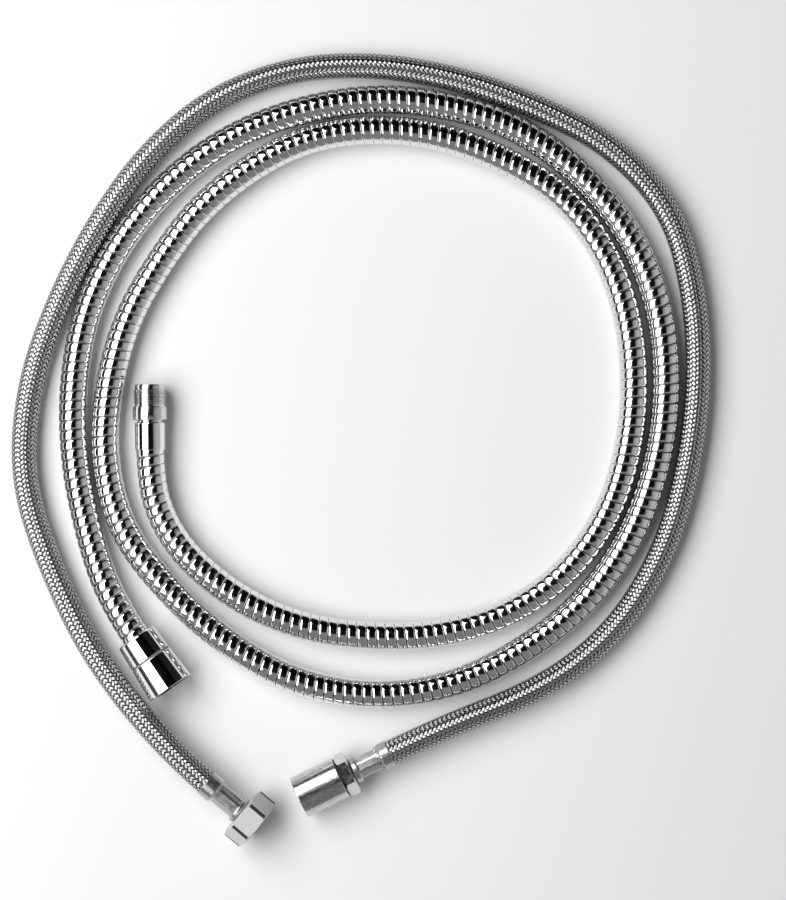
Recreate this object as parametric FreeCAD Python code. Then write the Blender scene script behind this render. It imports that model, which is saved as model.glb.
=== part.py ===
import FreeCAD, Part
import math
import os

# A bath-rim shower hose set, lying flat as it comes out of its box.
# One hose has a chromed steel spiral round it, with a male thread at one end and a swivelling cone nut
# at the other. The second hose is braided, with a swivelling hex nut and a female connector, into which
# the male thread of the first screws.
# Millimetres. X points right, Y away from the viewer, Z up. The origin is on the surface that the set
# lies on, under the middle of its outline.

Vector = FreeCAD.Vector

# Clearances
PRESSED = 0.02      # radial, between pieces that are pressed or crimped together
RUNNING = 0.08      # radial, between a swivelling nut and the neck that it turns on
FACE_GAP = 0.05     # between flat faces that meet
LOOSE = 0.25        # radial, between a hose's skin and the tube that slides through it
PAST = 1.0          # how far a cut runs past the face that it opens
EDGE_ROUND = 0.3    # of a turned edge, where nothing else is said

# Chrome spiral hose
SPIRAL_OD = 14.0
SPIRAL_WALL = 1.3            # of the steel skin, on its ribs
SPIRAL_GROOVE_DEPTH = 0.45
SPIRAL_RIBS = 180
SPIRAL_CREST_SHARE = 0.62    # of a rib's pitch
SPIRAL_FLANK_SHARE = 0.06    # of a rib's pitch, each side of the crest
SPIRAL_LINER_WALL = 1.6

# Braided hose
BRAID_OD = 12.5
BRAID_WALL = 0.6
BRAID_LINER_WALL = 1.6
BRAID_STATIONS = 120         # rings of the water tube

# Thread end of the spiral hose: G 3/8 male
G38_MAJOR = 16.66
G38_MINOR = 14.95
THREAD_LENGTH = 8.2
THREAD_RELIEF = 0.9          # the groove between collar and thread, where the cutter ran out
COLLAR_OD = 16.8
COLLAR_LENGTH = 6.8
COLLAR_BACK_ROUND = 0.5
LEAD_OD = 14.6
LEAD_LENGTH = 2.7
LEAD_ROUND = 0.8
THREAD_END_WATERWAY = 9.0
END_SLEEVE_WALL = 0.48
END_SLEEVE_LENGTH = 13.8
END_SLEEVE_ROUND = 0.9
END_GROOVE = 0.9

# Cone end of the spiral hose: G 1/2 female swivel
G12_MINOR = 18.63
G12_MAJOR = 20.96
CONE_START_OD = 20.4
CONE_SLEEVE_END_OD = 21.8
CONE_MOUTH_OD = 24.0
CONE_SLEEVE_LENGTH = 12.5
CONE_SLIP_RING = 0.8
CONE_NUT_LENGTH = 17.0
CONE_ROUND = 1.2
CONE_RIM_ROUND = 0.2         # where the sleeve meets the slip ring
CONE_WATERWAY = 8.0
SLIP_RING_DEPTH = 0.4        # how far the ring stays below the sleeve's surface
UNDERCUT_GAP = 0.12          # radial, from a female thread to the undercuts before and behind it
MOUTH_RELIEF_LENGTH = 0.8
NUT_WALL = 2.1               # the nut's back wall, round its neck
SPIGOT_STEP = 0.72           # how much less the tail's spigot is in radius than the hose's seat
NUT_HEAD_GAP = 0.5           # radial, from a tail's head to the nut's thread
NUT_HEAD_LENGTH = 1.6

# Hex end of the braided hose: G 1/2 female swivel
HEX_NUT_FLATS = 24.0
HEX_NUT_HEIGHT = 10.9
HEX_CORNER_ANGLE = 30.0
HEX_STOCK = 0.2              # radial, how far the turned form stands out past a hexagon's corners
HEX_JOURNAL_OD = 9.2

# Connector end of the braided hose: G 3/8 female
CONNECTOR_OD = 21.2
CONNECTOR_LENGTH = 22.8
CONNECTOR_THREAD_DEPTH = 13.6
CONNECTOR_HEX_FLATS = 19.0
CONNECTOR_HEX_THICK = 5.7
CONNECTOR_HEX_TURN = 8.0     # degrees, as the hex happened to stop when it was screwed in
CONNECTOR_STUB_OD = 13.2
CONNECTOR_STUB_LENGTH = 7.0
GASKET_THICK = 0.5
MOUTH_CHAMFER = 0.6
CONNECTOR_ROUND = 0.4

# Crimped ferrules, deep drawn from stainless steel
FERRULE_WALL = 0.45
FERRULE_SQUEEZE = 1.22       # how far the waist is pressed in
FERRULE_BEAD_RISE = 1.2      # how far the bead stands out from the waist
FERRULE_NECK = 0.1           # how far before the waist the hose is already squeezed
CRIMP_DENT = 0.15            # how much deeper the crimping jaws press than the waist's own round
HOSE_SETBACK = 0.5           # from the squeezed hose's end to the ferrule's bead
HEX_FERRULE_WIDE = 7.5
HEX_FERRULE_WAIST = 12.2
HEX_FERRULE_BEAD = 2.8
CONNECTOR_FERRULE_WIDE = 5.7
CONNECTOR_FERRULE_WAIST = 11.1
CONNECTOR_FERRULE_BEAD = 3.6
FERRULE_CRIMPS = 8
FERRULE_MOUTH_ROUND = 0.2
FERRULE_SHOULDER_ROUND = 0.6
FERRULE_WAIST_ROUND = 0.3
FERRULE_BEAD_BACK_ROUND = 0.9
FERRULE_BEAD_FRONT_ROUND = 1.2

# Barbed tails
BARBS = 2
BARB_PITCH = 3.6
BARB_RISE = 0.35
BARB_SLOPE_SHARE = 0.9       # of the pitch, the rest is straight
BARB_TAIL = 7.0              # how far a barb's tip reaches into the hose, past its end
CRIMPED_BRAID_WALL = 0.4     # of the braid, squeezed under its ferrule
CRIMPED_LINER_WALL = 1.0     # of the water tube, squeezed under its ferrule
SPIRAL_NIPPLE_WALL = 1.0
BRAID_NIPPLE_WALL = 0.7
CRIMP_RING_LENGTH = 4.6

# Sealing washers
WASHER_THICK = 1.8
WASHER_BORE = 10.0
WASHER_HOLD = 0.2            # radial, how far a washer reaches behind the thread that keeps it in

# How the least gap between hoses is measured
MEASURE_STEP = 2.0           # from one measured point to the next along a hose
OWN_TURN = 100.0             # along one hose, nearer points belong to the same bend

# Where the hoses lie. Each end is the point where the hose leaves its fitting, with the way the
# fitting points, in degrees from X.
COIL_CENTRE = (5.4, 31.4)
THREAD_END = (-103.5, -0.6)
THREAD_AIM = 90.6
CONE_END = (-110.4, -92.4)
CONE_AIM = -55.3
HEX_END = (-75.9, -163.4)
HEX_AIM = -40.0
CONNECTOR_END = (14.3, -149.3)
CONNECTOR_AIM = -153.8

# Distance of each hose's centre line from COIL_CENTRE, every STEP_ANGLE degrees, as the hoses lie in
# loose turns that differ in size. The spiral hose runs anticlockwise, the braided one clockwise.
STEP_ANGLE = 15.0
SPIRAL_FIRST_ANGLE = 225.0
SPIRAL_RADII = [
    123.3, 123.3, 123.0, 122.9, 126.3, 130.4, 132.4, 132.1, 129.7,
    128.6, 129.8, 131.5, 131.5, 127.9, 126.4, 125.3, 124.6, 121.8, 120.4, 119.9, 124.0, 128.5,
    135.8, 141.4, 141.6, 144.6, 149.9, 152.3, 152.2, 149.6, 149.0, 147.0, 144.9,
    144.4, 145.7, 146.4, 145.8, 144.6, 141.8, 140.3, 138.9, 139.5, 140.1, 141.7, 144.3, 146.2,
    150.6,
]
BRAID_FIRST_ANGLE = 225.0
BRAID_RADII = [
    190.2, 180.7, 177.2, 167.7, 158.4, 155.1, 156.9, 160.0, 159.6, 156.7, 155.6, 158.0,
    165.9, 169.7, 163.6, 159.7, 159.9, 164.6, 169.2, 170.3,
]
BRAID_RISES = {0: 1.8, len(BRAID_RADII) - 1: 1.9}    # how far a point stands above the lying height
SPIRAL_ENTRY = (-96.4, -37.8)    # between the thread end and the first turn
SPIRAL_EXIT = (-132.5, -47.4)    # between the last turn and the cone end
HOSE_INSERT = 4.0             # how far each hose goes into its fitting
THREAD_END_RUN = 16.5         # from the fitting to the first point of the route outside it
CONE_END_RUN = 20.0
BRAID_END_RUN = 24.0


def polar(centre, radius, angle, height):
    a = math.radians(angle)
    return Vector(centre[0] + radius * math.cos(a), centre[1] + radius * math.sin(a), height)


class Fitting:
    """Where a fitting lies: its seat, where the hose leaves it, and its axis, pointing outwards."""

    def __init__(self, end, aim, height, tilt=0.0):
        a, t = math.radians(aim), math.radians(tilt)
        self.seat = Vector(end[0], end[1], height)
        self.axis = Vector(math.cos(a) * math.cos(t), math.sin(a) * math.cos(t), math.sin(t))

    def at(self, along):
        return self.seat + self.axis * along

    def placed(self, shape):
        """Moves a shape built along X, with the seat at its origin, to where the fitting lies."""
        side = Vector(0, 0, 1).cross(self.axis).normalize()
        up = self.axis.cross(side)
        turn = FreeCAD.Rotation(self.axis, side, up, "XYZ")
        moved = shape.copy()
        moved.Placement = FreeCAD.Placement(self.seat, turn)
        return moved


class Route:
    """Straight runs joined by arcs that touch them, each arc as large as its two runs allow."""

    ARC_SHARE = 0.45

    def __init__(self, points):
        self.edges, self.radii = [], []
        start = points[0]
        for before, corner, after in zip(points, points[1:], points[2:]):
            back, on = before - corner, after - corner
            reach = self.ARC_SHARE * min(back.Length, on.Length)
            back.normalize()
            on.normalize()
            half_turn = (math.pi - back.getAngle(on)) / 2
            radius = reach / math.tan(half_turn)
            inwards = (back + on).normalize()
            middle = corner + inwards * (radius / math.cos(half_turn) - radius)
            first, last = corner + back * reach, corner + on * reach
            self.edges.append(Part.LineSegment(start, first).toShape())
            self.edges.append(Part.Arc(first, middle, last).toShape())
            self.radii.append(radius)
            start = last
        self.edges.append(Part.LineSegment(start, points[-1]).toShape())
        self.wire = Part.Wire(self.edges)
        self.length = self.wire.Length

    def at(self, along):
        """The point at a distance along the route, and the way that the route runs there. Before its
        start and past its end the route runs on straight."""
        for edge in self.edges[:-1]:
            if along <= edge.Length:
                break
            along -= edge.Length
        else:
            edge = self.edges[-1]
        inside = min(max(along, 0.0), edge.Length)
        spot = edge.getParameterByLength(inside)
        ahead = edge.tangentAt(spot)
        return edge.valueAt(spot) + ahead * (along - inside), ahead


def turning_points(radii, first_angle, step, height, rises={}):
    """Corners of a loosely coiled route. A smooth line rounds a corner on its inside, so that each
    corner stands out by the share that brings the middle of its runs to the radius given."""
    stand_out = 1 / math.cos(math.radians(step / 2))
    return [polar(COIL_CENTRE, r * stand_out, first_angle + step * i, height + rises.get(i, 0.0))
            for i, r in enumerate(radii)]


def ring(route, along, radius):
    point, ahead = route.at(along)
    circle = Part.Circle(point, ahead, radius)
    circle.XAxis = Vector(0, 0, 1)
    return Part.Wire([circle.toShape()])


def lofted_skin(route, rings):
    """A solid along the route with a round section, from rings of (distance along, radius)."""
    return Part.makeLoft([ring(route, along, radius) for along, radius in rings], True, True)


def swept_skin(route, radius):
    return route.wire.makePipeShell([ring(route, 0.0, radius)], True, False)


def even_rings(route, count, radius):
    return [(route.length * i / count, radius) for i in range(count + 1)]


def turned(outline):
    """A solid turned about X. Each corner of the outline is (x, radius) or (x, radius, round)."""
    corners = [Vector(c[0], 0, c[1]) for c in outline]
    rounds = [c[2] if len(c) > 2 else 0.0 for c in outline]
    edges, first, last = [], None, None
    for i, corner in enumerate(corners):
        back = (corners[i - 1] - corner).normalize()
        on = (corners[(i + 1) % len(corners)] - corner).normalize()
        half_turn = (math.pi - back.getAngle(on)) / 2
        reach = rounds[i] * math.tan(half_turn)
        arrive, leave = corner + back * reach, corner + on * reach
        if last is None:
            first = arrive
        else:
            edges.append(Part.LineSegment(last, arrive).toShape())
        if reach:
            inwards = (back + on).normalize()
            middle = corner + inwards * (rounds[i] / math.cos(half_turn) - rounds[i])
            edges.append(Part.Arc(arrive, middle, leave).toShape())
        last = leave
    edges.append(Part.LineSegment(last, first).toShape())
    return Part.Face(Part.Wire(edges)).revolve(Vector(0, 0, 0), Vector(1, 0, 0), 360)


def hexagon(flats, start, thick, turn=0.0):
    """A hexagonal prism along X, with a flat on top unless it is turned."""
    corner = flats / math.sqrt(3)
    ring_points = [Vector(start, corner * math.cos(math.radians(60 * k + turn)),
                          corner * math.sin(math.radians(60 * k + turn))) for k in range(7)]
    return Part.Face(Part.makePolygon(ring_points)).extrude(Vector(thick, 0, 0))


def bevelled_hexagon(flats, start, thick, bevel_start, bevel_end, turn=0.0):
    """A hexagonal prism whose corners are turned off at HEX_CORNER_ANGLE, at either face or both."""
    corner = flats / math.sqrt(3) + HEX_STOCK
    flat = flats / 2
    drop = (corner - flat) * math.tan(math.radians(HEX_CORNER_ANGLE))
    outline = [(start, 0.0), (start, flat if bevel_start else corner)]
    if bevel_start:
        outline.append((start + drop, corner))
    if bevel_end:
        outline.append((start + thick - drop, corner))
    outline += [(start + thick, flat if bevel_end else corner), (start + thick, 0.0)]
    return hexagon(flats, start, thick, turn).common(turned(outline))


def cylinder(start, length, radius):
    return Part.makeCylinder(radius, length, Vector(start, 0, 0), Vector(1, 0, 0))


def barbs(seat, root, back_to):
    """Outline corners of a barbed nipple, from its foot at seat to its tip at back_to."""
    corners = [(seat, root)]
    last_crest = back_to + BARBS * BARB_PITCH
    for i in range(BARBS):
        crest = last_crest - BARB_PITCH * i
        corners += [(crest, root), (crest, root + BARB_RISE), (crest - BARB_PITCH * BARB_SLOPE_SHARE, root)]
    return corners + [(back_to, root)]


def crimped_ferrule(wide, waist, bead, neck_r, turn):
    """A drawn cup, slipped over the hose and squeezed at its waist, which leaves lengthwise flats."""
    seat_r = BRAID_OD / 2 + PRESSED
    wide_r = seat_r + FERRULE_WALL
    waist_r = wide_r - FERRULE_SQUEEZE
    bead_r = waist_r + FERRULE_BEAD_RISE
    step = FERRULE_SQUEEZE
    end = wide + waist + bead
    outside = turned([
        (0, 0), (0, wide_r, FERRULE_MOUTH_ROUND), (wide - step, wide_r, FERRULE_SHOULDER_ROUND),
        (wide, waist_r, FERRULE_WAIST_ROUND), (wide + waist, waist_r),
        (wide + waist, bead_r, FERRULE_BEAD_BACK_ROUND), (end, bead_r, FERRULE_BEAD_FRONT_ROUND),
        (end, 0)])
    waist_band = cylinder(wide, waist, 2 * waist_r)
    chord = waist_r * (1 + math.cos(math.pi / FERRULE_CRIMPS)) / 2
    half_side = chord * math.tan(math.pi / FERRULE_CRIMPS)
    outline = [Vector(wide, r * math.cos(a), r * math.sin(a))
               for a, r in ((math.pi * (2 * k + 1) / FERRULE_CRIMPS + math.radians(turn),
                             math.hypot(chord, half_side)) for k in range(FERRULE_CRIMPS + 1))]
    core = Part.Face(Part.makePolygon(outline)).extrude(Vector(waist, 0, 0))
    outside = outside.cut(waist_band.cut(core))
    hollow = turned([
        (-PAST, 0), (-PAST, seat_r), (wide - step, seat_r), (wide, waist_bore_r),
        (end - FERRULE_WALL, waist_bore_r), (end - FERRULE_WALL, neck_r + PRESSED),
        (end + PAST, neck_r + PRESSED), (end + PAST, 0)])
    return outside.cut(hollow)


# Where the fittings lie: each rests on the surface by its own widest round or flat
cone_length = CONE_SLEEVE_LENGTH + CONE_SLIP_RING + CONE_NUT_LENGTH
cone_tilt = math.degrees(math.atan((CONE_MOUTH_OD - CONE_START_OD) / 2 / cone_length))
thread_end = Fitting(THREAD_END, THREAD_AIM, COLLAR_OD / 2)
cone_end = Fitting(CONE_END, CONE_AIM, CONE_START_OD / 2 * math.cos(math.radians(cone_tilt)), cone_tilt)
hex_end = Fitting(HEX_END, HEX_AIM, HEX_NUT_FLATS / 2)
connector_end = Fitting(CONNECTOR_END, CONNECTOR_AIM, CONNECTOR_OD / 2)

# The routes of the two hoses
spiral_route = Route(
    [thread_end.at(HOSE_INSERT), thread_end.at(-THREAD_END_RUN), Vector(*SPIRAL_ENTRY, SPIRAL_OD / 2)]
    + turning_points(SPIRAL_RADII, SPIRAL_FIRST_ANGLE, STEP_ANGLE, SPIRAL_OD / 2)
    + [Vector(*SPIRAL_EXIT, SPIRAL_OD / 2), cone_end.at(-CONE_END_RUN), cone_end.at(HOSE_INSERT)])
braid_route = Route(
    [hex_end.at(HOSE_INSERT), hex_end.at(-BRAID_END_RUN)]
    + turning_points(BRAID_RADII, BRAID_FIRST_ANGLE, -STEP_ANGLE, BRAID_OD / 2, BRAID_RISES)
    + [connector_end.at(-BRAID_END_RUN), connector_end.at(HOSE_INSERT)])

pieces = {}

# Spiral hose: the ribbed steel skin, its bore and the water tube inside it
rib_pitch = spiral_route.length / SPIRAL_RIBS
groove_share = 1 - SPIRAL_CREST_SHARE - 2 * SPIRAL_FLANK_SHARE
crest_r, groove_r = SPIRAL_OD / 2, SPIRAL_OD / 2 - SPIRAL_GROOVE_DEPTH
rib = [(groove_share / 2, groove_r), (groove_share / 2 + SPIRAL_FLANK_SHARE, crest_r),
       (1 - groove_share / 2 - SPIRAL_FLANK_SHARE, crest_r), (1 - groove_share / 2, groove_r)]
rib_rings = [((i + share) * rib_pitch, radius) for i in range(SPIRAL_RIBS) for share, radius in rib]
rib_rings = [(0.0, groove_r)] + rib_rings + [(spiral_route.length, groove_r)]
spiral_stations = 2 * SPIRAL_RIBS // 3
spiral_bore_r = SPIRAL_OD / 2 - SPIRAL_WALL
pieces["spiral_sheath"] = lofted_skin(spiral_route, rib_rings).cut(
    lofted_skin(spiral_route, even_rings(spiral_route, spiral_stations, spiral_bore_r)))

spiral_liner_r = spiral_bore_r - LOOSE
spiral_liner_bore_r = spiral_liner_r - SPIRAL_LINER_WALL
ring_start = HOSE_INSERT + FACE_GAP
spiral_liner_end = ring_start + CRIMP_RING_LENGTH + FACE_GAP     # along a fitting's axis


def with_stubs(route, rings, stub, stub_rings):
    """Rings that run on straight past both ends of the route, into the fittings."""
    head = [(-stub + x, radius) for x, radius in stub_rings]
    tail = [(route.length + stub - x, radius) for x, radius in reversed(stub_rings)]
    return head + rings + tail


spiral_stub = spiral_liner_end - HOSE_INSERT
liner_rings = with_stubs(spiral_route, even_rings(spiral_route, spiral_stations, spiral_liner_r),
                         spiral_stub, [(0.0, spiral_liner_r)])
bore_rings = [(along, spiral_liner_bore_r) for along, _ in liner_rings]
pieces["spiral_hose_liner"] = lofted_skin(spiral_route, liner_rings).cut(
    lofted_skin(spiral_route, bore_rings))

# Braided hose: the steel braid and the water tube inside it, which its ferrules squeeze
braid_bore_r = BRAID_OD / 2 - BRAID_WALL
waist_bore_r = BRAID_OD / 2 + PRESSED - FERRULE_SQUEEZE - CRIMP_DENT
crimped_braid_r = waist_bore_r - PRESSED
crimped_braid_bore_r = crimped_braid_r - CRIMPED_BRAID_WALL
braid_liner_r = braid_bore_r - LOOSE
braid_liner_bore_r = braid_liner_r - BRAID_LINER_WALL
crimped_liner_r = crimped_braid_bore_r - PRESSED
crimped_liner_bore_r = crimped_liner_r - CRIMPED_LINER_WALL


def squeezed_braid(ferrule_wide, ferrule_waist):
    """The end of the braid in a ferrule, from where it goes in to just short of the bead."""
    neck = ferrule_wide - FERRULE_NECK
    end = ferrule_wide + ferrule_waist - HOSE_SETBACK
    return turned([
        (HOSE_INSERT, braid_bore_r), (HOSE_INSERT, BRAID_OD / 2), (neck, crimped_braid_r),
        (end, crimped_braid_r), (end, crimped_braid_bore_r), (neck, crimped_braid_bore_r)])


pieces["braid_sheath"] = swept_skin(braid_route, BRAID_OD / 2).cut(
    swept_skin(braid_route, braid_bore_r)).fuse([
        hex_end.placed(squeezed_braid(HEX_FERRULE_WIDE, HEX_FERRULE_WAIST)),
        connector_end.placed(squeezed_braid(CONNECTOR_FERRULE_WIDE, CONNECTOR_FERRULE_WAIST))])


def crimped_end(ferrule_wide, ferrule_waist, full, crimped):
    """Stub rings of the water tube in a ferrule: full outside it, squeezed all along the waist."""
    end = ferrule_wide + ferrule_waist - HOSE_SETBACK - HOSE_INSERT
    neck = ferrule_wide - FERRULE_NECK - HOSE_INSERT
    return end, [(0.0, crimped), (end - neck, crimped), (end, full)]


def braid_liner(full, crimped):
    head_end, head = crimped_end(HEX_FERRULE_WIDE, HEX_FERRULE_WAIST, full, crimped)
    tail_end, tail = crimped_end(CONNECTOR_FERRULE_WIDE, CONNECTOR_FERRULE_WAIST, full, crimped)
    rings = [(x - head_end, radius) for x, radius in head]
    rings += even_rings(braid_route, BRAID_STATIONS, full)[1:-1]
    rings += [(braid_route.length + tail_end - x, radius) for x, radius in reversed(tail)]
    return lofted_skin(braid_route, rings)


pieces["braided_hose_liner"] = braid_liner(braid_liner_r, crimped_liner_r).cut(
    braid_liner(braid_liner_bore_r, crimped_liner_bore_r))


# The spiral hose's tails end in a nipple inside its water tube, and in a spigot inside the end sleeve
spiral_nipple_r = spiral_liner_bore_r - PRESSED - BARB_RISE
spiral_waterway_r = spiral_nipple_r - SPIRAL_NIPPLE_WALL
spigot_start = spiral_liner_end + FACE_GAP
sleeve_bore_r = SPIRAL_OD / 2 + PRESSED
spigot_r = sleeve_bore_r - SPIGOT_STEP


def crimp_ring():
    """The ring that holds the water tube on its nipple and fills the sleeve behind the steel skin."""
    return cylinder(ring_start, CRIMP_RING_LENGTH, sleeve_bore_r - PRESSED).cut(
        cylinder(ring_start, CRIMP_RING_LENGTH, spiral_liner_r + PRESSED))


def sleeve_hollow(length):
    """The end sleeve's inside: the hose's seat, then the narrower seat of the tail's spigot."""
    return turned([(-PAST, 0), (-PAST, sleeve_bore_r), (spigot_start, sleeve_bore_r),
                   (spigot_start, spigot_r + PRESSED), (length + PAST, spigot_r + PRESSED),
                   (length + PAST, 0)])


# Thread end
collar_start = END_SLEEVE_LENGTH + END_GROOVE
relief_start = collar_start + COLLAR_LENGTH
thread_start = relief_start + THREAD_RELIEF
lead_start = relief_start + THREAD_LENGTH
thread_tip = lead_start + LEAD_LENGTH
nipple_tip = HOSE_INSERT - BARB_TAIL
tail_body = turned(
    [(thread_tip, 0), (thread_tip, LEAD_OD / 2, LEAD_ROUND), (lead_start, LEAD_OD / 2),
     (lead_start, G38_MAJOR / 2, EDGE_ROUND), (thread_start, G38_MAJOR / 2),
     (thread_start, G38_MINOR / 2), (relief_start, G38_MINOR / 2),
     (relief_start, COLLAR_OD / 2, EDGE_ROUND), (collar_start, COLLAR_OD / 2, COLLAR_BACK_ROUND),
     (collar_start, spigot_r), (spigot_start, spigot_r)]
    + barbs(spigot_start, spiral_nipple_r, nipple_tip)
    + [(nipple_tip, 0)])
waterway = cylinder(nipple_tip - PAST, thread_tip, spiral_waterway_r).fuse(
    cylinder(END_SLEEVE_LENGTH, thread_tip, THREAD_END_WATERWAY / 2))
pieces["thread_tail"] = thread_end.placed(tail_body.cut(waterway))
pieces["thread_end_crimp_ring"] = thread_end.placed(crimp_ring())
sleeve_r = sleeve_bore_r + END_SLEEVE_WALL
sleeve_body = turned([(0, 0), (0, sleeve_r, EDGE_ROUND), (END_SLEEVE_LENGTH, sleeve_r, END_SLEEVE_ROUND),
                      (END_SLEEVE_LENGTH, 0)])
pieces["thread_end_sleeve"] = thread_end.placed(sleeve_body.cut(sleeve_hollow(END_SLEEVE_LENGTH)))

# Cone end
slip_start = CONE_SLEEVE_LENGTH
nut_start = slip_start + CONE_SLIP_RING + FACE_GAP
nut_mouth = slip_start + CONE_SLIP_RING + CONE_NUT_LENGTH
head_start = nut_start + NUT_WALL + FACE_GAP
head_end = head_start + NUT_HEAD_LENGTH
head_r = G12_MINOR / 2 - NUT_HEAD_GAP
cone_tail_body = turned(
    [(head_end, 0), (head_end, head_r, EDGE_ROUND), (head_start, head_r, EDGE_ROUND),
     (head_start, spigot_r), (spigot_start, spigot_r)]
    + barbs(spigot_start, spiral_nipple_r, nipple_tip)
    + [(nipple_tip, 0)])
cone_waterway = cylinder(nipple_tip - PAST, head_end, spiral_waterway_r).fuse(
    cylinder(slip_start, head_end, CONE_WATERWAY / 2))
pieces["cone_tail"] = cone_end.placed(cone_tail_body.cut(cone_waterway))
pieces["cone_crimp_ring"] = cone_end.placed(crimp_ring())
cone_sleeve_body = turned([(0, 0), (0, CONE_START_OD / 2, CONE_ROUND),
                           (CONE_SLEEVE_LENGTH, CONE_SLEEVE_END_OD / 2, CONE_RIM_ROUND),
                           (CONE_SLEEVE_LENGTH, 0)])
pieces["cone_sleeve"] = cone_end.placed(cone_sleeve_body.cut(sleeve_hollow(CONE_SLEEVE_LENGTH)))
slip_ring_r = CONE_SLEEVE_END_OD / 2 - SLIP_RING_DEPTH
pieces["cone_slip_ring"] = cone_end.placed(
    cylinder(slip_start + FACE_GAP, CONE_SLIP_RING - FACE_GAP, slip_ring_r).cut(
        cylinder(slip_start, CONE_SLIP_RING + PAST, spigot_r + RUNNING)))


def nut_hollow(start, mouth, journal_r):
    """The inside of a swivel nut: the hole round the tail's neck, the pocket of the tail's head and
    the washer, the threaded bore and the unthreaded mouth."""
    back = start + NUT_WALL
    thread = back + NUT_HEAD_LENGTH + WASHER_THICK + 3 * FACE_GAP
    relief = mouth - MOUTH_RELIEF_LENGTH
    thread_r, undercut_r = G12_MINOR / 2, G12_MAJOR / 2 + UNDERCUT_GAP
    return turned([
        (start - PAST, 0), (start - PAST, journal_r + RUNNING), (back, journal_r + RUNNING),
        (back, undercut_r), (thread, undercut_r), (thread, thread_r), (relief, thread_r),
        (relief, undercut_r), (mouth + PAST, undercut_r), (mouth + PAST, 0)])


def washer(start, thread_r, bore_r):
    return cylinder(start, WASHER_THICK, thread_r + WASHER_HOLD).cut(
        cylinder(start, WASHER_THICK, bore_r))


cone_nut_body = turned([(nut_start, 0), (nut_start, CONE_SLEEVE_END_OD / 2, EDGE_ROUND),
                        (nut_mouth, CONE_MOUTH_OD / 2, EDGE_ROUND), (nut_mouth, 0)])
pieces["cone_nut"] = cone_end.placed(cone_nut_body.cut(nut_hollow(nut_start, nut_mouth, spigot_r)))
pieces["cone_nut_washer"] = cone_end.placed(
    washer(head_end + FACE_GAP, G12_MINOR / 2, WASHER_BORE / 2))

# The braided hose's tails end in a nipple inside its squeezed water tube
braid_nipple_r = crimped_liner_bore_r - PRESSED - BARB_RISE
braid_waterway_r = braid_nipple_r - BRAID_NIPPLE_WALL
hex_journal_r = HEX_JOURNAL_OD / 2

# Hex end
hex_ferrule_end = HEX_FERRULE_WIDE + HEX_FERRULE_WAIST + HEX_FERRULE_BEAD
hex_journal_start = hex_ferrule_end - HEX_FERRULE_BEAD / 2
hex_nut_start = hex_ferrule_end + 2 * FACE_GAP
hex_nut_mouth = hex_nut_start + HEX_NUT_HEIGHT
hex_head_start = hex_nut_start + NUT_WALL + FACE_GAP
hex_head_end = hex_head_start + NUT_HEAD_LENGTH
hex_tail_body = turned(
    [(hex_head_end, 0), (hex_head_end, head_r, EDGE_ROUND), (hex_head_start, head_r, EDGE_ROUND),
     (hex_head_start, hex_journal_r), (hex_journal_start, hex_journal_r)]
    + barbs(hex_journal_start, braid_nipple_r, HOSE_INSERT)
    + [(HOSE_INSERT, 0)])
pieces["hex_end_tail"] = hex_end.placed(
    hex_tail_body.cut(cylinder(HOSE_INSERT - PAST, hex_head_end, braid_waterway_r)))
pieces["hex_end_ferrule"] = hex_end.placed(crimped_ferrule(
    HEX_FERRULE_WIDE, HEX_FERRULE_WAIST, HEX_FERRULE_BEAD, hex_journal_r, 0.0))
hex_nut_body = bevelled_hexagon(HEX_NUT_FLATS, hex_nut_start, HEX_NUT_HEIGHT, True, True)
pieces["hex_nut"] = hex_end.placed(
    hex_nut_body.cut(nut_hollow(hex_nut_start, hex_nut_mouth, hex_journal_r)))
pieces["hex_nut_washer"] = hex_end.placed(
    washer(hex_head_end + FACE_GAP, G12_MINOR / 2, WASHER_BORE / 2))

# Connector end
connector_ferrule_end = CONNECTOR_FERRULE_WIDE + CONNECTOR_FERRULE_WAIST + CONNECTOR_FERRULE_BEAD
connector_journal_start = connector_ferrule_end - CONNECTOR_FERRULE_BEAD / 2
connector_hex_start = connector_ferrule_end + FACE_GAP
connector_hex_end = connector_hex_start + CONNECTOR_HEX_THICK
sleeve_start = connector_hex_end + GASKET_THICK + 2 * FACE_GAP
stub_end = sleeve_start + CONNECTOR_STUB_LENGTH
sleeve_end = sleeve_start + CONNECTOR_LENGTH
stub_r = CONNECTOR_STUB_OD / 2
connector_hex_middle = (connector_hex_start + connector_hex_end) / 2
connector_turned = turned(
    [(stub_end, 0), (stub_end, stub_r, CONNECTOR_ROUND), (connector_hex_middle, stub_r),
     (connector_hex_middle, hex_journal_r), (connector_journal_start, hex_journal_r)]
    + barbs(connector_journal_start, braid_nipple_r, HOSE_INSERT)
    + [(HOSE_INSERT, 0)])
connector_hex = bevelled_hexagon(CONNECTOR_HEX_FLATS, connector_hex_start, CONNECTOR_HEX_THICK,
                                 True, True, CONNECTOR_HEX_TURN)
pieces["connector_tail"] = connector_end.placed(connector_turned.fuse(connector_hex).cut(
    cylinder(HOSE_INSERT - PAST, stub_end, braid_waterway_r)))
pieces["connector_ferrule"] = connector_end.placed(crimped_ferrule(
    CONNECTOR_FERRULE_WIDE, CONNECTOR_FERRULE_WAIST, CONNECTOR_FERRULE_BEAD, hex_journal_r,
    CONNECTOR_HEX_TURN))
gasket_start = connector_hex_end + FACE_GAP
pieces["connector_gasket"] = connector_end.placed(
    cylinder(gasket_start, GASKET_THICK, CONNECTOR_HEX_FLATS / 2).cut(
        cylinder(gasket_start, GASKET_THICK, stub_r + PRESSED)))
thread_floor = sleeve_end - CONNECTOR_THREAD_DEPTH
seal_start = thread_floor + FACE_GAP
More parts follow.
